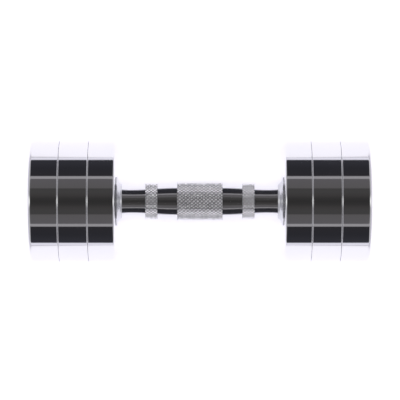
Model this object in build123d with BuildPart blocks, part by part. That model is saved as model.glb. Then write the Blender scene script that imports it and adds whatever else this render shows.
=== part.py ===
from build123d import *
from math import radians, tan
import os

# A chrome screw-together dumbbell. The handle lies along X with the middle of the grip at the
# origin. On each side three plates screw on, one on the next, by studs that stand out of their
# inner faces, with a rubber washer at each joint. Millimetres.

# ---- Driving dimensions ----------------------------------------------------------------------

# Handle bar, from the middle of the grip to the spigots that carry the collars
swell_radius = 15.8  # smooth bar beside the centre band
neck_radius = 13.4  # thinnest section
neck_place = 55.4
shoulder_radius = 13.9  # where the collar begins
shoulder_place = 63.3

# Knurled bands, sized over the crests of the knurl
band_radius = 16.0
band_length = 36.6
ring_radius = 15.0
ring_width = 9.9
ring_place = 39.4
band_chamfer = 0.4

# Flared collars
collar_length = 4.7
collar_step = 0.25  # stands proud of the bar where they meet
cove_radius = 7.0
flange_radius = 20.0
flange_rim = 0.9
flange_rounding = 0.3

# Plates
head_radius = 50.0
inner_thickness = 21.9
middle_thickness = 23.6
outer_thickness = 23.6
hand_side_rounding = 1.7  # rim that faces the hand
seam_rounding = 0.7  # rims on each side of a seam
end_rounding = 2.5  # rim of the end face
seam_gap = 0.1  # held open by the squeezed washer

# Studs: an M14 end fixed in the plate and an M16 end that screws into the next piece inwards
stud_radius = 8.0
stud_reach = 10.5
fixed_radius = 7.0
stud_chamfer = 1.0
hex_key_size = 8.0  # across flats
hex_key_depth = 6.0
inner_tip_space = 1.0  # from a stud's tip to the bottom of the tapped hole in the inner plate
tip_space = 2.7  # the same in the two thicker plates

# Threaded sockets in the ends of the bar
socket_depth = 13.0
drill_point_angle = 118.0
mouth_chamfer = 0.8

# Rubber washers
washer_radius = 11.9
washer_seat_depth = 1.2
washer_rounding = 0.4

# Clearances
thread_clearance = 0.05  # radial, stud in tapped hole
fixed_clearance = 0.02  # radial, stud in its own plate and collar on its spigot
washer_clearance = 0.3  # radial, washer to stud and to its seat
face_clearance = 0.02  # washer to the face on each side of it

# ---- Sizes that follow -----------------------------------------------------------------------

handle_end = shoulder_place + collar_length
spigot_end = handle_end - washer_seat_depth
tapped_radius = stud_radius + thread_clearance
fixed_bore_radius = fixed_radius + fixed_clearance
washer_seat_radius = washer_radius + washer_clearance
spigot_radius = washer_seat_radius - fixed_clearance
washer_bore_radius = stud_radius + washer_clearance
washer_thickness = washer_seat_depth + seam_gap - 2 * face_clearance
drill_point = tapped_radius / tan(radians(drill_point_angle / 2))
band_half = band_length / 2

stud_depth = stud_reach - seam_gap - washer_seat_depth  # below the washer seat it screws through

sides = {"left": -1, "right": 1}
stack = {
    "inner": (inner_thickness, hand_side_rounding, seam_rounding, inner_tip_space),
    "middle": (middle_thickness, seam_rounding, seam_rounding, tip_space),
    "outer": (outer_thickness, seam_rounding, end_rounding, tip_space),
}


def across(place, sign):
    """The plane square to the handle at this distance from the middle, facing outwards."""
    return Plane(origin=(sign * place, 0, 0), x_dir=(0, 1, 0), z_dir=(sign, 0, 0))


def lengthwise(sign):
    """The plane for turned outlines: its x runs outwards along the handle and its y is the radius."""
    return Plane(origin=(0, 0, 0), x_dir=(sign, 0, 0), z_dir=(0, 0, sign))


def rims(piece, radius, sign=1):
    """The circular edges of this radius, the innermost first."""
    circles = piece.edges().filter_by(GeomType.CIRCLE)
    matching = circles.filter_by(lambda edge: abs(edge.radius - radius) < 1e-4)
    return matching.sort_by(lambda edge: sign * edge.arc_center.X)


def finish(piece, name):
    """Label a finished piece and write its file."""
    piece.part.label = name
    export_step(piece.part, f"parts/{name}.step")


os.makedirs("parts", exist_ok=True)

# ---- Handle bar ------------------------------------------------------------------------------

# The bar falls from the swell to the neck in two equal arcs that meet half way. The right half is
# built whole and then mirrored.
half_way = ((band_half + neck_place) / 2, (swell_radius + neck_radius) / 2)

with BuildPart() as handle_bar:
    with BuildSketch(Plane.YZ):
        Circle(band_radius)
    extrude(amount=band_half)
    chamfer(rims(handle_bar, band_radius)[-1], band_chamfer)
    with BuildSketch(across(ring_place - ring_width / 2, 1)):
        Circle(ring_radius)
    extrude(amount=ring_width)
    chamfer(rims(handle_bar, ring_radius), band_chamfer)
    with BuildSketch(lengthwise(1)):
        with BuildLine():
            swell = Line((0, swell_radius), (band_half, swell_radius))
            fall = TangentArc(swell @ 1, half_way, tangent=(1, 0))
            ease = TangentArc(half_way, (neck_place, neck_radius), tangent=fall % 1)
            rise = TangentArc(ease @ 1, (shoulder_place, shoulder_radius), tangent=(1, 0))
            Polyline(
                rise @ 1,
                (shoulder_place, spigot_radius),
                (spigot_end, spigot_radius),
                (spigot_end, 0),
                (0, 0),
                swell @ 0,
            )
        make_face()
    revolve(axis=Axis.X)
    with Locations(across(spigot_end, 1)):
        Hole(tapped_radius, depth=socket_depth)
    chamfer(rims(handle_bar, tapped_radius)[-1], mouth_chamfer)
    with Locations(across(spigot_end - socket_depth - drill_point / 2, 1)):
        Cone(0, tapped_radius, drill_point, mode=Mode.SUBTRACT)
    mirror(about=Plane.YZ)
finish(handle_bar, "handle_bar")

# ---- Flared collars --------------------------------------------------------------------------

for side, sign in sides.items():
    with BuildPart() as collar:
        with BuildSketch(lengthwise(sign)):
            with BuildLine():
                step = Line(
                    (shoulder_place, washer_seat_radius),
                    (shoulder_place, shoulder_radius + collar_step),
                )
                brink = (handle_end - flange_rim, flange_radius)
                cove = RadiusArc(step @ 1, brink, -cove_radius)  # hollow towards the hand
                Polyline(
                    cove @ 1,
                    (handle_end, flange_radius),
                    (handle_end, washer_seat_radius),
                    step @ 0,
                )
            make_face()
        revolve(axis=Axis.X)
        fillet(rims(collar, flange_radius), flange_rounding)
    finish(collar, f"collar_{side}")

# ---- Plates, studs and washers, from the handle outwards --------------------------------------

for side, sign in sides.items():
    inner_face = handle_end + seam_gap
    for rank, (thickness, inward_rounding, outward_rounding, space) in stack.items():
        outer_face = inner_face + thickness
        tapped_depth = stud_depth + space
        fixed_length = thickness - washer_seat_depth - tapped_depth

        with BuildPart() as plate:
            with BuildSketch(across(inner_face, sign)):
                Circle(head_radius)
            extrude(amount=thickness)
            inward_rim, outward_rim = rims(plate, head_radius, sign)
            fillet(inward_rim, inward_rounding)
            fillet(outward_rim, outward_rounding)
            with Locations(across(outer_face, sign)):
                CounterBoreHole(fixed_bore_radius, washer_seat_radius, washer_seat_depth)
            with Locations(across(outer_face - washer_seat_depth, sign)):
                Hole(tapped_radius, depth=tapped_depth)
            chamfer(rims(plate, tapped_radius, sign)[-1], mouth_chamfer)
        finish(plate, f"{rank}_plate_{side}")

        with BuildPart() as stud:
            with BuildSketch(across(inner_face - stud_reach, sign)):
                Circle(stud_radius)
            extrude(amount=stud_reach)
            with BuildSketch(across(inner_face, sign)):
                Circle(fixed_radius)
            extrude(amount=fixed_length)
            chamfer(rims(stud, stud_radius, sign)[0], stud_chamfer)
            chamfer(rims(stud, fixed_radius, sign)[-1], stud_chamfer)
            with BuildSketch(across(inner_face + fixed_length, sign)):
                RegularPolygon(hex_key_size / 2, 6, major_radius=False)
            extrude(amount=-hex_key_depth, mode=Mode.SUBTRACT)
        finish(stud, f"{rank}_stud_{side}")

        washer_face = inner_face - seam_gap - washer_seat_depth + face_clearance
        with BuildPart() as washer:
            with BuildSketch(across(washer_face, sign)):
                Circle(washer_radius)
                Circle(washer_bore_radius, mode=Mode.SUBTRACT)
            extrude(amount=washer_thickness)
            fillet(washer.edges(), washer_rounding)
        finish(washer, f"{rank}_washer_{side}")

        inner_face = outer_face + seam_gap
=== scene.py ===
from math import ceil, pi, radians, sin, sqrt, tan, tau

import bpy
from mathutils import Matrix, Vector


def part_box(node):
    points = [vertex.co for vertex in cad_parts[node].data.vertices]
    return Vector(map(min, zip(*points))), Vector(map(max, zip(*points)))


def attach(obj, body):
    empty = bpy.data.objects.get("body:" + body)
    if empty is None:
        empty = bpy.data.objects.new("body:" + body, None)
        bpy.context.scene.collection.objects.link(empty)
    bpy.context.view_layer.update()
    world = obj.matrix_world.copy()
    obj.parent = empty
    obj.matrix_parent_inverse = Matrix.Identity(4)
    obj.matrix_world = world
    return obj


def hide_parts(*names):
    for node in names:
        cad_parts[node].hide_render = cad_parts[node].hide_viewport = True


# The looks of a chrome screw-together dumbbell: turned handle bar with rolled knurling, flared
# collars, polished plates, M16 studs with cut threads, and rubber washers. Each turned piece is
# drawn as a short outline and spun round the handle's axis. The right-hand side is made first, and
# the left-hand side is a copy turned half round, which keeps every thread right-handed.

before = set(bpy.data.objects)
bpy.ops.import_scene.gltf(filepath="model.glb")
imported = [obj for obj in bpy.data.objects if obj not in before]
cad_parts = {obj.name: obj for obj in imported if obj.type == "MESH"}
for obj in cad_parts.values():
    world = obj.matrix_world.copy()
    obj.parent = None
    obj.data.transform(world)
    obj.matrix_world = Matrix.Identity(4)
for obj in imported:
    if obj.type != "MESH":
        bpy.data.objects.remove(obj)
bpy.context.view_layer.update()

MM = 0.001
SIDES = ("right", "left")
RANKS = ("inner", "middle", "outer")

# ---- Sizes that the frame gives, in metres ----------------------------------------------------

bar_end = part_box("handle_bar")[1].x
collar_low, collar_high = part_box("collar_right")
shoulder_place, handle_end, flange_radius = collar_low.x, collar_high.x, collar_high.z
plate_span = {rank: [corner.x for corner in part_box(f"{rank}_plate_right")] for rank in RANKS}
stud_span = {rank: [corner.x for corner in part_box(f"{rank}_stud_right")] for rank in RANKS}
washer_span = {rank: [corner.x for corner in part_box(f"{rank}_washer_right")] for rank in RANKS}
head_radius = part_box("inner_plate_right")[1].z
stud_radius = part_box("inner_stud_right")[1].z
washer_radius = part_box("inner_washer_right")[1].z
band_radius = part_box("handle_bar")[1].z

# ---- Sizes of the details ---------------------------------------------------------------------

# Handle bar
band_half = 18.3 * MM
swell_radius = 15.8 * MM
neck_place, neck_radius = 55.4 * MM, 13.4 * MM
shoulder_radius = 13.9 * MM
spigot_radius = 12.18 * MM
ring_place, ring_width, ring_radius = 39.4 * MM, 9.9 * MM, 15.0 * MM
socket_depth = 13.0 * MM
drill_point = 4.8 * MM

# Rolled diamond knurl
knurl_length = 3.4 * MM  # of one diamond, along the handle
knurl_width = 2.6 * MM  # round the handle; the real ones are nearer 2 mm, too fine to show
knurl_depth = 0.38 * MM
knurl_flank = 0.93 * MM  # width of a diamond's sloping side, seen from above
knurl_crown = 0.2  # share of that width which slopes more gently, up to the crest
knurl_crown_height = 0.18  # share of the depth that the crown takes up
knurl_weld = 0.06 * MM  # neighbouring diamonds are joined across gaps up to this
knurl_chamfer = 0.4 * MM

# Collars
collar_step = 0.25 * MM
cove_radius = 7.0 * MM
flange_rim = 0.9 * MM

# Plates
hand_side_rounding, seam_rounding, end_rounding = 1.7 * MM, 0.7 * MM, 2.5 * MM
washer_seat_radius, washer_seat_depth = 12.2 * MM, 1.2 * MM
fixed_length, fixed_radius = 10.5 * MM, 7.0 * MM
fixed_bore_radius = fixed_radius + 0.02 * MM
mouth_chamfer = 1.2 * MM

# M16 x 2 thread, with the play that lets it turn
pitch = 2.0 * MM
thread_depth = 1.1 * MM
thread_play = 0.08 * MM
crest_radius = stud_radius - 0.05 * MM
drilled_radius = crest_radius - thread_depth + 0.12 * MM  # of a hole before it is tapped
hex_key_size, hex_key_depth = 8.0 * MM, 6.0 * MM

# Washers
washer_bore_radius = stud_radius + 0.3 * MM

weld = 0.002 * MM  # vertices nearer to each other than this are one

# ---- Modelling helpers ------------------------------------------------------------------------


def start_vertex(name, place):
    """A new object in edit mode that holds one selected vertex."""
    bpy.ops.object.select_all(action="DESELECT")
    bpy.ops.mesh.primitive_plane_add(size=MM)
    piece = bpy.context.object
    piece.name = piece.data.name = name
    bpy.ops.object.mode_set(mode="EDIT")
    bpy.ops.mesh.merge(type="CENTER")
    bpy.ops.transform.translate(value=place)
    return piece


def draw_outline(outline):
    """Extrude the selected vertex along the rest of an outline of (x, radius) points."""
    for (x0, r0), (x1, r1) in zip(outline, outline[1:]):
        bpy.ops.mesh.extrude_region_move(TRANSFORM_OT_translate={"value": (x1 - x0, 0, r1 - r0)})


def close_up():
    """Merge doubles, turn all faces outwards and leave edit mode."""
    bpy.ops.mesh.select_all(action="SELECT")
    bpy.ops.mesh.remove_doubles(threshold=weld)
    bpy.ops.mesh.normals_make_consistent(inside=False)
    bpy.ops.object.mode_set(mode="OBJECT")


def lathe(name, outline, steps=256):
    """Turn an outline of (x, radius) points round the handle's axis."""
    piece = start_vertex(name, (outline[0][0], 0, outline[0][1]))
    draw_outline(outline)
    bpy.ops.mesh.select_all(action="SELECT")
    bpy.ops.mesh.spin(steps=steps, angle=tau, center=(0, 0, 0), axis=(1, 0, 0))
    close_up()
    return piece


def rounded(corners, facet=radians(10)):
    """A closed outline from corners (x, radius, rounding), with each rounding drawn as an arc."""
    points = []
    for i, (x, r, rounding) in enumerate(corners):
        corner = Vector((x, r))
        if not rounding:
            points.append(corner)
            continue
        back = (Vector(corners[i - 1][:2]) - corner).normalized()
        on = (Vector(corners[(i + 1) % len(corners)][:2]) - corner).normalized()
        half = back.angle(on) / 2
        centre = corner + (back + on).normalized() * rounding / sin(half)
        spoke = corner + back * rounding / tan(half) - centre
        turn = pi - 2 * half
        way = -1 if back.cross(on) > 0 else 1
        steps = max(2, ceil(turn / facet))
        for k in range(steps + 1):
            points.append(centre + Matrix.Rotation(way * turn * k / steps, 2) @ spoke)
    return points + points[:1]


def carve(piece, tool, operation):
    """Cut, join or trim a piece with another solid, which is used up."""
    bpy.context.view_layer.objects.active = piece
    boolean = piece.modifiers.new(operation, "BOOLEAN")
    boolean.operation = operation
    boolean.object = tool
    boolean.solver = "EXACT"
    bpy.ops.object.modifier_apply(modifier=boolean.name)
    bpy.data.objects.remove(tool)


def pick(piece, wanted):
    """In edit mode, select only the vertices whose place passes the test."""
    bpy.ops.mesh.select_mode(type="VERT")
    bpy.ops.mesh.select_all(action="DESELECT")
    bpy.ops.object.mode_set(mode="OBJECT")
    for vertex in piece.data.vertices:
        vertex.select = wanted(vertex.co)
    bpy.ops.object.mode_set(mode="EDIT")


def copy_of(piece, name, shift=0.0, half_turn=False):
    """A copy with its own mesh, moved along the handle or turned half round its middle."""
    bpy.ops.object.select_all(action="DESELECT")
    piece.select_set(True)
    bpy.context.view_layer.objects.active = piece
    bpy.ops.object.duplicate()
    made = bpy.context.object
    made.name = made.data.name = name
    made.location.x = shift
    made.rotation_euler.z = pi if half_turn else 0
    bpy.ops.object.transform_apply(location=True, rotation=True, scale=False)
    return made


def shade(piece):
    """Smooth shading in which the large faces stay true and only the roundings bend the light."""
    bpy.ops.object.select_all(action="DESELECT")
    piece.select_set(True)
    bpy.context.view_layer.objects.active = piece
    bpy.ops.object.shade_smooth_by_angle(angle=radians(35))
    weighted = piece.modifiers.new("true_faces", "WEIGHTED_NORMAL")
    weighted.keep_sharp = True
    bpy.ops.object.modifier_apply(modifier=weighted.name)


def place(piece, material, body, slot, *nodes):
    """Give a finished piece its material and body, and the frame nodes that it stands for."""
    piece.data.materials.clear()
    piece.data.materials.append(material)
    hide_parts(*nodes)
    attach(piece, body)


# ---- Threads ----------------------------------------------------------------------------------


def threaded_rod(name, low, high, anchor, growth=0.0):
    """A solid rod with a right-hand M16 x 2 thread, between two places on the handle's axis.

    The thread's phase counts from anchor, so a rod and the tap for its hole agree. Growth makes
    the tap a little larger all over.
    """
    crest = crest_radius + growth
    root = crest - thread_depth
    start = anchor - ceil((anchor - low) / pitch + 1) * pitch
    turns = ceil((high - start) / pitch) + 1
    eighth = pitch / 8
    profile = [
        (start, root),
        (start + eighth, root),
        (start + 3.5 * eighth, crest),
        (start + 4.5 * eighth, crest),
        (start + 7 * eighth, root),
        (start + pitch, root),
    ]
    rod = start_vertex(name, (start, 0, root))
    draw_outline(profile)
    bpy.ops.object.mode_set(mode="OBJECT")
    screw = rod.modifiers.new("thread", "SCREW")
    screw.axis = "X"
    screw.angle = tau
    screw.screw_offset = pitch
    screw.iterations = turns
    screw.steps = screw.render_steps = 64
    bpy.ops.object.modifier_apply(modifier=screw.name)
    bpy.ops.object.mode_set(mode="EDIT")
    bpy.ops.mesh.select_all(action="SELECT")
    bpy.ops.mesh.remove_doubles(threshold=weld)
    for place_x, ends in ((low, {"clear_inner": True}), (high, {"clear_outer": True})):
        bpy.ops.mesh.select_all(action="SELECT")
        bpy.ops.mesh.bisect(plane_co=(place_x, 0, 0), plane_no=(1, 0, 0), use_fill=True, **ends)
    close_up()
    return rod


# ---- Handle bar -------------------------------------------------------------------------------


def bar_radius(x):
    """The smooth bar's radius at this distance from the middle: two equal arcs, then the neck."""
    if x <= band_half:
        return swell_radius
    run, drop = (neck_place - band_half) / 2, (swell_radius - neck_radius) / 2
    bend = (run**2 + drop**2) / (2 * drop)
    if x <= band_half + run:
        return swell_radius - bend + sqrt(bend**2 - (x - band_half) ** 2)
    if x <= neck_place:
        return neck_radius + bend - sqrt(bend**2 - (neck_place - x) ** 2)
    run, rise = shoulder_place - neck_place, shoulder_radius - neck_radius
    bend = (run**2 + rise**2) / (2 * rise)
    return neck_radius + bend - sqrt(bend**2 - (x - neck_place) ** 2)


def bar_stretch(low, high, steps):
    """Outline corners along the smooth bar from one place to another."""
    places = [low + (high - low) * k / steps for k in range(steps + 1)]
    return [(x, bar_radius(x), 0) for x in places]


def make_handle_bar():
    """One turned bar: seats under the knurled bands, necks, spigots and threaded sockets."""
    edge = 0.12 * MM
    band_seat, ring_seat = 15.2 * MM, 13.6 * MM
    ring_in, ring_out = ring_place - ring_width / 2, ring_place + ring_width / 2
    half = [(band_half, band_seat, 0), (band_half, swell_radius, edge)]
    half += bar_stretch(band_half + 2 * edge, ring_in - 2 * edge, 16)
    half += [(ring_in, bar_radius(ring_in), edge), (ring_in, ring_seat, 0)]
    half += [(ring_out, ring_seat, 0), (ring_out, bar_radius(ring_out), 0)]
    half += bar_stretch(ring_out + 0.2 * MM, shoulder_place - 3 * edge, 20)
    half += [
        (shoulder_place, shoulder_radius, edge),
        (shoulder_place, spigot_radius, 0),
        (bar_end, spigot_radius, 0.3 * MM),
        (bar_end, drilled_radius + mouth_chamfer, 0.1 * MM),
        (bar_end - mouth_chamfer, drilled_radius, 0),
        (bar_end - socket_depth, drilled_radius, 0),
        (bar_end - socket_depth - drill_point, 0, 0),
    ]
    mirrored = [(-x, r, rounding) for x, r, rounding in reversed(half)]
    outline = rounded(mirrored + half)[:-1]
    bar = lathe("turned_handle_bar", outline)
    low, high = bar_end - socket_depth + 0.5 * MM, bar_end + 2 * MM
    for half_turn in (False, True):
        tap = threaded_rod("tap", low, high, plate_span["inner"][0], thread_play)
        if half_turn:
            turned = copy_of(tap, "turned_tap", half_turn=True)
            bpy.data.objects.remove(tap)
            tap = turned
        carve(bar, tap, "DIFFERENCE")
    shade(bar)
    return bar


def make_knurled_band(name, middle, width, crest):
    """A rolled diamond knurl: one pair of flat-topped diamonds, repeated along and round the bar."""
    inner_radius = crest - 4 * knurl_depth  # below the band's seat in the bar
    root = crest - knurl_depth
    length = width - 2 * knurl_chamfer
    start = middle - length / 2
    along = round(length / knurl_length)
    around = round(tau * root / knurl_width)
    diamond_length = length / along
    diamond_width = 2 * root * tan(pi / around)

    bpy.ops.object.select_all(action="DESELECT")
    bpy.ops.mesh.primitive_circle_add(
        vertices=4, radius=1, fill_type="NGON", location=(start, 0, root)
    )
    band = bpy.context.object
    band.name = band.data.name = name
    bpy.ops.object.transform_apply(location=True)
    bpy.ops.object.mode_set(mode="EDIT")
    bpy.ops.mesh.select_all(action="SELECT")
    bpy.ops.transform.resize(
        value=(diamond_length / 2, diamond_width / 2, 1), center_override=(start, 0, root)
    )
    for wide, high in ((1 - knurl_crown, 1 - knurl_crown_height), (knurl_crown, knurl_crown_height)):
        bpy.ops.mesh.inset(thickness=wide * knurl_flank, depth=high * knurl_depth)
    bpy.ops.mesh.select_all(action="SELECT")
    bpy.ops.mesh.duplicate_move(TRANSFORM_OT_translate={"value": (diamond_length / 2, 0, 0)})
    bpy.ops.transform.rotate(value=pi / around, orient_axis="X", center_override=(0, 0, 0))
    bpy.ops.object.mode_set(mode="OBJECT")

    row = band.modifiers.new("along", "ARRAY")
    row.count = along + 1
    row.use_relative_offset = False
    row.use_constant_offset = True
    row.constant_offset_displace = (diamond_length, 0, 0)
    bpy.ops.object.modifier_apply(modifier=row.name)

    bpy.ops.object.mode_set(mode="EDIT")
    bpy.ops.mesh.select_all(action="SELECT")
    bpy.ops.mesh.spin(
        steps=around - 1,
        angle=tau * (around - 1) / around,
        dupli=True,
        center=(0, 0, 0),
        axis=(1, 0, 0),
    )
    bpy.ops.mesh.select_all(action="SELECT")
    bpy.ops.mesh.remove_doubles(threshold=knurl_weld)
    for place_x, ends in ((start, {"clear_inner": True}), (start + length, {"clear_outer": True})):
        bpy.ops.mesh.select_all(action="SELECT")
        bpy.ops.mesh.bisect(
            plane_co=(place_x, 0, 0), plane_no=(1, 0, 0), threshold=0.001 * MM, **ends
        )

    # The ends fall away in a chamfer and close on the bar.
    for end_x, outwards in ((start, -1), (start + length, 1)):
        pick(band, lambda point: abs(point.x - end_x) < 0.001 * MM)
        for step, share in ((knurl_chamfer, root / crest), (0, inner_radius / root)):
            bpy.ops.mesh.extrude_region_move(
                TRANSFORM_OT_translate={"value": (outwards * step, 0, 0)}
            )
            bpy.ops.transform.resize(
                value=(1, share, share), center_override=(end_x + outwards * knurl_chamfer, 0, 0)
            )
    bpy.ops.mesh.select_all(action="DESELECT")
    bpy.ops.mesh.select_non_manifold()
    bpy.ops.mesh.bridge_edge_loops()
    close_up()
    return band


# ---- Collars, plates, studs and washers -------------------------------------------------------


def make_collar():
    """A flared collar: a cove that sweeps out to a thin flange."""
    foot = Vector((shoulder_place, shoulder_radius + collar_step))
    brink = Vector((handle_end - flange_rim, flange_radius))
    chord = brink - foot
    square = Vector((-chord.y, chord.x)).normalized()
    centre = (foot + brink) / 2 + square * sqrt(cove_radius**2 - chord.length_squared / 4)
    sweep = (foot - centre).angle(brink - centre)
    steps = 14
    turns = [Matrix.Rotation(sweep * k / steps, 2) for k in range(1, steps)]
    cove = [centre + turn @ (foot - centre) for turn in turns]
    corners = [
        (shoulder_place, washer_seat_radius, 0.1 * MM),
        (foot.x, foot.y, 0.12 * MM),
        *[(point.x, point.y, 0) for point in cove],
        (brink.x, brink.y, 0.2 * MM),
        (handle_end, flange_radius, 0.35 * MM),
        (handle_end, washer_seat_radius, 0.2 * MM),
    ]
    collar = lathe("flared_collar_right", rounded(corners))
    shade(collar)
    return collar


def make_plate(rank):
    """A plate with rounded rims, a washer seat and an M16 hole tapped from its outer face."""
    inner_face, outer_face = plate_span[rank]
    inward = hand_side_rounding if rank == "inner" else seam_rounding
    outward = end_rounding if rank == "outer" else seam_rounding
    seat = outer_face - washer_seat_depth
    step = inner_face + fixed_length
    corners = [
        (inner_face, fixed_bore_radius, 0.2 * MM),
        (inner_face, head_radius, inward),
        (outer_face, head_radius, outward),
        (outer_face, washer_seat_radius, 0.3 * MM),
        (seat, washer_seat_radius, 0.15 * MM),
        (seat, drilled_radius + mouth_chamfer, 0.1 * MM),
        (seat - mouth_chamfer, drilled_radius, 0),
        (step, drilled_radius, 0),
        (step, fixed_bore_radius, 0),
    ]
    plate = lathe(f"{rank}_chrome_plate_right", rounded(corners, facet=radians(7)))
    next_face = outer_face + plate_span["middle"][0] - plate_span["inner"][1]
    tap = threaded_rod("tap", step + 0.4 * MM, seat + 2 * MM, next_face, thread_play)
    carve(plate, tap, "DIFFERENCE")
    shade(plate)
    return plate


def make_stud():
    """The inner plate's stud: M16 thread with a relief groove, fixed shank and hexagon socket."""
    tip, back = stud_span["inner"]
    face = plate_span["inner"][0]
    relief = stud_radius - thread_depth - 0.2 * MM
    overlap = 1.0 * MM
    blank = lathe(
        "blank",
        rounded(
            [
                (tip, 0, 0),
                (tip, stud_radius - 1.5 * MM, 0.1 * MM),
                (tip + 1.5 * MM, stud_radius, 0),
                (face - 1.4 * MM, stud_radius, 0),
                (face - 1.0 * MM, relief, 0),
                (face + overlap, relief, 0),
                (face + overlap, 0, 0),
            ]
        )[:-1],
        96,
    )
    stud = threaded_rod("threaded_stud_inner_right", tip - MM, face + 2 * MM, face)
    carve(stud, blank, "INTERSECT")
    shank = lathe(
        "shank",
        rounded(
            [
                (face + 0.1 * MM, 0, 0),
                (face + 0.1 * MM, fixed_radius, 0.1 * MM),
                (back, fixed_radius, 0.8 * MM),
                (back, 0, 0),
            ]
        )[:-1],
        96,
    )
    carve(stud, shank, "UNION")
    bpy.ops.object.select_all(action="DESELECT")
    bpy.ops.mesh.primitive_cylinder_add(
        vertices=6,
        radius=hex_key_size / sqrt(3),
        depth=hex_key_depth,
        location=(back - hex_key_depth / 2 + 0.01 * MM, 0, 0),
        rotation=(0, pi / 2, 0),
    )
    carve(stud, bpy.context.object, "DIFFERENCE")
    shade(stud)
    return stud


def make_washer():
    """A moulded rubber washer with round edges and two shallow sealing grooves on each face."""
    low, high = washer_span["inner"]
    groove = 0.12 * MM
    wall = washer_radius - washer_bore_radius
    corners = [(low, washer_bore_radius, 0.35 * MM)]
    for way, face in ((1, low), (-1, high)):
        ridges = [washer_bore_radius + wall * share for share in (0.3, 0.42, 0.58, 0.7)]
        if way < 0:
            corners += [(high, washer_radius, 0.5 * MM)]
            ridges.reverse()
        for k, radius in enumerate(ridges):
            sunk = face + way * groove
            pair = [(face, radius, 0.04 * MM), (sunk, radius, 0.04 * MM)]
            corners += pair if k % 2 == 0 else pair[::-1]
        if way > 0:
            corners += [(low, washer_radius, 0.5 * MM)]
    corners += [(high, washer_bore_radius, 0.35 * MM)]
    washer = lathe("rubber_washer_inner_right", rounded(corners), 128)
    shade(washer)
    return washer


# ---- Materials --------------------------------------------------------------------------------


def colour(code):
    """Linear colour with full alpha from an sRGB hex code."""
    channels = [int(code[i : i + 2], 16) / 255 for i in (1, 3, 5)]
    linear = [c / 12.92 if c <= 0.04045 else ((c + 0.055) / 1.055) ** 2.4 for c in channels]
    return (*linear, 1.0)


def add_node(tree, kind, inputs=None, **settings):
    """Add a node with its settings, and fill its inputs with values or other nodes' outputs."""
    made = tree.nodes.new(kind)
    for key, value in settings.items():
        setattr(made, key, value)
    for key, value in (inputs or {}).items():
        if isinstance(value, bpy.types.NodeSocket):
            tree.links.new(value, made.inputs[key])
        else:
            made.inputs[key].default_value = value
    return made


def new_material(name):
    """An empty material, its node tree and its Object coordinates."""
    material = bpy.data.materials.new(name)
    material.use_nodes = True
    tree = material.node_tree
    tree.nodes.clear()
    return material, tree, add_node(tree, "ShaderNodeTexCoord").outputs["Object"]


def radius_at(tree, point):
    """The distance of each point from the handle's axis."""
    across = add_node(tree, "ShaderNodeVectorMath", {0: point, 1: (0, 1, 1)}, operation="MULTIPLY")
    radius = add_node(tree, "ShaderNodeVectorMath", {0: across.outputs[0]}, operation="LENGTH")
    return radius.outputs["Value"]


def surface(tree, shader):
    """Send a shader to the material's output."""
    add_node(tree, "ShaderNodeOutputMaterial", {"Surface": shader.outputs[0]})


def polished_chrome(name, base, ring_depth, haze):
    """Bright chrome plate on turned and buffed steel.

    The plating gives a cool mirror. Under it the lathe leaves fine rings on the flat faces, the
    buffing wheel leaves hairlines round the rims, and handling leaves a faint patchy haze.
    """
    material, tree, point = new_material(name)
    ring_spacing = 1.6 * MM  # real facing cuts are about 0.2 mm apart, too fine to show
    turned = add_node(
        tree,
        "ShaderNodeMath",
        {0: radius_at(tree, point), 1: tau / ring_spacing},
        operation="MULTIPLY",
    )
    rings = add_node(tree, "ShaderNodeMath", {0: turned.outputs[0]}, operation="SINE")
    stretched = add_node(tree, "ShaderNodeMapping", {"Vector": point, "Scale": (60, 1, 1)})
    hairlines = add_node(
        tree,
        "ShaderNodeTexNoise",
        {"Vector": stretched.outputs[0], "Scale": 1 / (14 * MM), "Detail": 3.0},
    )
    patches = add_node(
        tree, "ShaderNodeTexNoise", {"Vector": point, "Scale": 1 / (30 * MM), "Detail": 4.0}
    )
    roughness = add_node(
        tree,
        "ShaderNodeMapRange",
        {
            "Value": patches.outputs["Fac"],
            "From Min": 0.35,
            "From Max": 0.7,
            "To Min": haze,
            "To Max": haze + 0.04,
        },
    )
    ring_bump = add_node(
        tree,
        "ShaderNodeBump",
        {"Height": rings.outputs[0], "Distance": ring_depth, "Strength": 1.0},
    )
    line_bump = add_node(
        tree,
        "ShaderNodeBump",
        {
            "Height": hairlines.outputs["Fac"],
            "Distance": 0.004 * MM,
            "Strength": 1.0,
            "Normal": ring_bump.outputs[0],
        },
    )
    tint = add_node(
        tree,
        "ShaderNodeMix",
        {0: patches.outputs["Fac"], 6: colour(base), 7: colour("#F0F0F2")},
        data_type="RGBA",
    )
    shader = add_node(
        tree,
        "ShaderNodeBsdfPrincipled",
        {
            "Base Color": tint.outputs[2],
            "Metallic": 1.0,
            "Roughness": roughness.outputs[0],
            "Normal": line_bump.outputs[0],
        },
    )
    surface(tree, shader)
    return material


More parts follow.
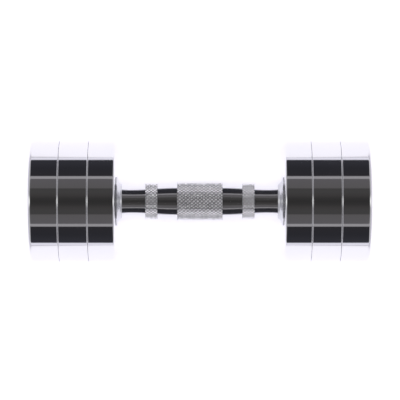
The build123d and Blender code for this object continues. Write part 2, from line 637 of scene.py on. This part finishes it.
def knurled_chrome(name, crest):
    """Chrome over a rolled knurl, coloured by height: a painted highlight on the crests and painted
    shade in the roots, mixed with patchy polish and dust.
    """
    material, tree, point = new_material(name)
    height = add_node(
        tree,
        "ShaderNodeMapRange",
        {
            "Value": radius_at(tree, point),
            "From Min": crest - knurl_depth,
            "From Max": crest - 0.5 * knurl_depth,
            "To Min": -0.35,
            "To Max": 0.6,
        },
    )
    grime = add_node(
        tree, "ShaderNodeTexNoise", {"Vector": point, "Scale": 1 / (3 * MM), "Detail": 5.0}
    )
    # Mask of painted light by height (painted shade in the roots, painted highlight on the crests) with
    # patchy grime added.
    painted_light_and_grime = add_node(
        tree,
        "ShaderNodeMath",
        {0: height.outputs[0], 1: grime.outputs["Fac"]},
        operation="ADD",
        use_clamp=True,
    )
    # Painted light: the dark root colour is painted shade and the near-white crest colour is a painted
    # highlight.
    tint = add_node(
        tree,
        "ShaderNodeMix",
        {0: painted_light_and_grime.outputs[0], 6: colour("#606062"), 7: colour("#FBFBFC")},
        data_type="RGBA",
    )
    roughness = add_node(
        tree, "ShaderNodeMapRange", {"Value": painted_light_and_grime.outputs[0], "To Min": 0.29, "To Max": 0.13}
    )
    pits = add_node(
        tree, "ShaderNodeTexNoise", {"Vector": point, "Scale": 1 / (0.5 * MM), "Detail": 2.0}
    )
    bump = add_node(
        tree, "ShaderNodeBump", {"Height": pits.outputs["Fac"], "Distance": 0.02 * MM, "Strength": 1.0}
    )
    shader = add_node(
        tree,
        "ShaderNodeBsdfPrincipled",
        {
            "Base Color": tint.outputs[2],
            "Metallic": 1.0,
            "Roughness": roughness.outputs[0],
            "Normal": bump.outputs[0],
        },
    )
    surface(tree, shader)
    return material


def zinc_steel():
    """Zinc-plated steel cut by a die: satin, slightly blue, and coloured darker towards the thread's
    roots.
    """
    material, tree, point = new_material("zinc_plated_steel")
    crests = add_node(
        tree,
        "ShaderNodeMapRange",
        {
            "Value": radius_at(tree, point),
            "From Min": stud_radius - thread_depth,
            "From Max": stud_radius,
        },
    )
    grain = add_node(
        tree, "ShaderNodeTexNoise", {"Vector": point, "Scale": 1 / (1.5 * MM), "Detail": 4.0}
    )
    # Darker towards the thread's roots, lighter towards the crests.
    tint = add_node(
        tree,
        "ShaderNodeMix",
        {0: crests.outputs[0], 6: colour("#77777A"), 7: colour("#C3C6CC")},
        data_type="RGBA",
    )
    roughness = add_node(
        tree, "ShaderNodeMapRange", {"Value": grain.outputs["Fac"], "To Min": 0.22, "To Max": 0.42}
    )
    bump = add_node(
        tree, "ShaderNodeBump", {"Height": grain.outputs["Fac"], "Distance": 0.02 * MM, "Strength": 1.0}
    )
    shader = add_node(
        tree,
        "ShaderNodeBsdfPrincipled",
        {
            "Base Color": tint.outputs[2],
            "Metallic": 1.0,
            "Roughness": roughness.outputs[0],
            "Normal": bump.outputs[0],
        },
    )
    surface(tree, shader)
    return material


def nitrile_rubber():
    """Moulded nitrile rubber: near-black and matt, with a fine mould grain and pale dust."""
    material, tree, point = new_material("nitrile_rubber")
    grain = add_node(
        tree, "ShaderNodeTexNoise", {"Vector": point, "Scale": 1 / (0.6 * MM), "Detail": 3.0}
    )
    dust = add_node(tree, "ShaderNodeTexNoise", {"Vector": point, "Scale": 1 / (5 * MM), "Detail": 4.0})
    tint = add_node(
        tree,
        "ShaderNodeMix",
        {0: dust.outputs["Fac"], 6: colour("#161617"), 7: colour("#2C2B2A")},
        data_type="RGBA",
    )
    bump = add_node(
        tree, "ShaderNodeBump", {"Height": grain.outputs["Fac"], "Distance": 0.05 * MM, "Strength": 1.0}
    )
    shader = add_node(
        tree,
        "ShaderNodeBsdfPrincipled",
        {"Base Color": tint.outputs[2], "Roughness": 0.62, "IOR": 1.52, "Normal": bump.outputs[0]},
    )
    surface(tree, shader)
    return material


# ---- Making and placing the pieces ------------------------------------------------------------

plate_chrome = polished_chrome("buffed_chrome_plate", "#EAEAEC", 0.0006 * MM, 0.03)
bar_chrome = polished_chrome("buffed_chrome_bar", "#E8E8EA", 0.0, 0.09)
collar_chrome = polished_chrome("satin_chrome_collar", "#A9ABB2", 0.0, 0.2)
steel = zinc_steel()
rubber = nitrile_rubber()

place(make_handle_bar(), bar_chrome, "handle", "handle_chrome", "handle_bar")
grip = make_knurled_band("knurled_grip", 0.0, 2 * band_half, band_radius)
grip_chrome = knurled_chrome("knurled_grip_chrome", band_radius)
place(grip, grip_chrome, "handle", "handle_chrome", "handle_bar")
ring_chrome = knurled_chrome("knurled_ring_chrome", ring_radius)
for side, way in zip(SIDES, (1, -1)):
    ring = make_knurled_band(f"knurled_ring_{side}", way * ring_place, ring_width, ring_radius)
    place(ring, ring_chrome, "handle", "handle_chrome", "handle_bar")

collar = make_collar()
left_collar = copy_of(collar, "flared_collar_left", half_turn=True)
place(left_collar, collar_chrome, "handle", "handle_chrome", "collar_left")
place(collar, collar_chrome, "handle", "handle_chrome", "collar_right")

first_stud, first_washer = make_stud(), make_washer()
for rank in RANKS:
    shift = plate_span[rank][0] - plate_span["inner"][0]
    plate = make_plate(rank)
    stud = copy_of(first_stud, f"{rank}_stud_right_turned", shift)
    washer = copy_of(first_washer, f"{rank}_washer_right_moulded", shift)
    for side in SIDES:
        plate_body, washer_body = f"{rank}_plate_body_{side}", f"{rank}_washer_body_{side}"
        if side == "left":
            plate = copy_of(plate, f"{rank}_chrome_plate_left", half_turn=True)
            stud = copy_of(stud, f"{rank}_stud_left_turned", half_turn=True)
            washer = copy_of(washer, f"{rank}_washer_left_moulded", half_turn=True)
        place(plate, plate_chrome, plate_body, "plate_chrome", f"{rank}_plate_{side}")
        place(stud, steel, plate_body, "stud_steel", f"{rank}_stud_{side}")
        place(washer, rubber, washer_body, "washer_rubber", f"{rank}_washer_{side}")
bpy.data.objects.remove(first_stud)
bpy.data.objects.remove(first_washer)

# ---- Floor, light and camera ------------------------------------------------------------------


def make_floor():
    """A large sheet of opal acrylic which the heads stand on, given a painted glow that fills in their
    shade.
    """
    bpy.ops.object.select_all(action="DESELECT")
    bpy.ops.mesh.primitive_plane_add(size=60, location=(0, 0, -head_radius))
    floor = bpy.context.object
    floor.name = "opal_floor"
    material, tree, point = new_material("opal_acrylic")
    # The painted glow is very slightly uneven.
    cloud = add_node(
        tree, "ShaderNodeTexNoise", {"Vector": point, "Scale": 1 / (400 * MM), "Detail": 2.0}
    )
    glow = add_node(
        tree, "ShaderNodeMapRange", {"Value": cloud.outputs["Fac"], "To Min": 0.48, "To Max": 0.52}
    )
    # The painted glow lies under the dumbbell only, and dims beyond both ends.
    parts = add_node(tree, "ShaderNodeSeparateXYZ", {0: point})
    end = add_node(tree, "ShaderNodeMath", {0: parts.outputs["X"]}, operation="ABSOLUTE")
    painted_glow = add_node(
        tree,
        "ShaderNodeMapRange",
        {
            "Value": end.outputs[0],
            "From Min": 0.17,
            "From Max": 0.37,
            "To Min": glow.outputs[0],
            "To Max": 0.0,
        },
        interpolation_type="SMOOTHSTEP",
    )
    # The sheet's emission is painted light: a glow under the dumbbell that no lamp gives.
    shader = add_node(
        tree,
        "ShaderNodeBsdfPrincipled",
        {
            "Base Color": colour("#F3F1F9"),
            "Roughness": 0.7,
            "Emission Color": colour("#FBF9FF"),
            "Emission Strength": painted_glow.outputs[0],
        },
    )
    surface(tree, shader)
    floor.data.materials.append(material)


def make_studio():
    """The light from all round: a dark ceiling with grey flats and two strip lights in it, grey
    flats beyond both ends of the dumbbell with a lamp in each, and a white wall along the sides."""
    world = bpy.data.worlds.new("studio")
    bpy.context.scene.world = world
    world.use_nodes = True
    tree = world.node_tree
    tree.nodes.clear()
    direction = add_node(tree, "ShaderNodeTexCoord").outputs["Generated"]
    parts = add_node(tree, "ShaderNodeSeparateXYZ", {0: direction})
    side = add_node(tree, "ShaderNodeMath", {0: parts.outputs["Y"]}, operation="ABSOLUTE")
    end = add_node(tree, "ShaderNodeMath", {0: parts.outputs["X"]}, operation="ABSOLUTE")
    lean = add_node(
        tree, "ShaderNodeMath", {0: side.outputs[0], 1: parts.outputs["Z"]}, operation="ARCTAN2"
    )
    half_turns = add_node(tree, "ShaderNodeMath", {0: lean.outputs[0], 1: pi}, operation="DIVIDE")
    along = add_node(tree, "ShaderNodeMapRange", {"Value": parts.outputs["X"], "From Min": -1.0})
    bands = {}
    for name, value, stops in (
        # Across the dumbbell, by the angle from straight up in half turns
        (
            "ceiling",
            half_turns.outputs[0],
            (
                (0, "#313030"),
                (5.4 / 180, "#353434"),
                (11 / 180, "#3F3D3D"),
                (17 / 180, "#434242"),
                (23.5 / 180, "#434242"),
                (25 / 180, "#5B595A"),
                (42.6 / 180, "#5F5D60"),
                (42.9 / 180, "#9A989B"),
                (47.7 / 180, "#9A989B"),
                (48 / 180, "#2D2C30"),
                (65 / 180, "#2C2C31"),
                (83.5 / 180, "#35353B"),
                (84.8 / 180, "#EAE8F4"),
                (96 / 180, "#F7F5FF"),
            ),
        ),
        # Along the dumbbell: where the flats beyond the ends cover the rest
        (
            "reach",
            along.outputs[0],
            ((0.275, "#FFFFFF"), (0.365, "#000000"), (0.635, "#000000"), (0.725, "#FFFFFF")),
        ),
        # Those flats, from the floor up
        (
            "flats",
            parts.outputs["Z"],
            (
                (0.0, "#C9C8CE"),
                (0.45, "#C4C3C8"),
                (0.64, "#BCBBBF"),
                (0.8, "#8A898C"),
                (0.95, "#706F72"),
            ),
        ),
    ):
        node = add_node(tree, "ShaderNodeValToRGB", {"Fac": value})
        elements = node.color_ramp.elements
        while len(elements) < len(stops):
            elements.new(1.0)
        for element, (position, code) in zip(elements, stops):
            element.position = position
            element.color = colour(code)
        bands[name] = node.outputs["Color"]
    with_flats = add_node(
        tree,
        "ShaderNodeMix",
        {0: bands["reach"], 6: bands["ceiling"], 7: bands["flats"]},
        data_type="RGBA",
    )
    far = add_node(
        tree, "ShaderNodeMapRange", {"Value": end.outputs[0], "From Min": 0.42, "From Max": 0.5}
    )
    narrow = add_node(
        tree, "ShaderNodeMapRange", {"Value": side.outputs[0], "From Min": 0.18, "From Max": 0.04}
    )
    lamp = add_node(
        tree, "ShaderNodeMath", {0: far.outputs[0], 1: narrow.outputs[0]}, operation="MULTIPLY"
    )
    with_lamps = add_node(
        tree,
        "ShaderNodeMix",
        {0: lamp.outputs[0], 6: with_flats.outputs[2], 7: colour("#FFFFFF")},
        data_type="RGBA",
    )
    background = add_node(tree, "ShaderNodeBackground", {"Color": with_lamps.outputs[2]})
    add_node(tree, "ShaderNodeOutputWorld", {"Surface": background.outputs[0]})


def make_overhead_light():
    """A soft light straight overhead for the floor and the rubber, kept out of the mirrors."""
    lamp = bpy.data.lights.new("overhead", "SUN")
    lamp.energy = 1.25
    lamp.angle = radians(18)
    light = bpy.data.objects.new("overhead", lamp)
    bpy.context.scene.collection.objects.link(light)
    light.visible_glossy = False


def make_camera():
    """A long lens straight above the dumbbell, with +X to the right and +Y up."""
    distance = 2.2
    frame_width = 0.3257  # metres of the handle's level that the picture spans
    camera_data = bpy.data.cameras.new("camera")
    camera_data.sensor_width = 36
    camera_data.lens = 36 * distance / frame_width
    camera = bpy.data.objects.new("camera", camera_data)
    camera.location = (0.1 * MM, 1.1 * MM, distance)
    bpy.context.scene.collection.objects.link(camera)
    bpy.context.scene.camera = camera
    bpy.context.scene.view_settings.view_transform = "Standard"


make_floor()
make_studio()
make_overhead_light()
make_camera()
